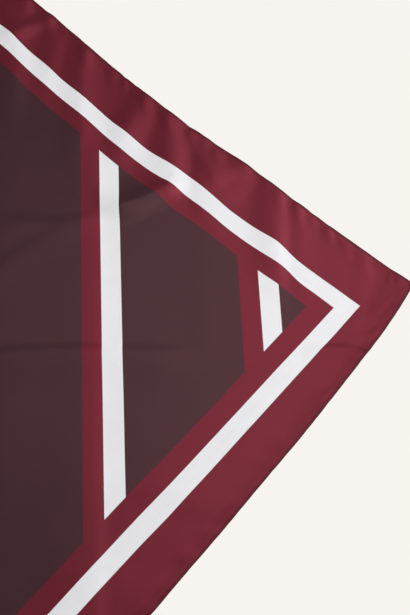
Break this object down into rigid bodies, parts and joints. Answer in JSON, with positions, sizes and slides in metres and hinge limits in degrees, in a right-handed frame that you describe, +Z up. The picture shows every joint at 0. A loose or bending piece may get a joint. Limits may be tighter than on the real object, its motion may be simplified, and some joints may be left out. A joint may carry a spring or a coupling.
{
  "type": "satin scarf",
  "caption": "Large square satin scarf with rolled hems, spread out flat on a surface, with soft folds along its border.",
  "frame": {"origin": "middle of the outline, on the surface that the scarf lies on", "axes": "+Z up from that surface; +Y towards hem_north and +X towards hem_east, so the corner in the picture is at +X +Y"},
  "size_m": [0.9078, 0.9124, 0.0061],
  "materials": {
    "printed_satin": "printed polyester satin with a soft sheen: burgundy border, white line and dark brown field",
    "hem_satin": "the same satin in plain burgundy, rolled and stitched"
  },
  "bodies": {
    "root": {"cloth": "printed_satin", "hem_north": "hem_satin", "hem_east": "hem_satin", "hem_south": "hem_satin", "hem_west": "hem_satin"}
  },
  "joints": []
}
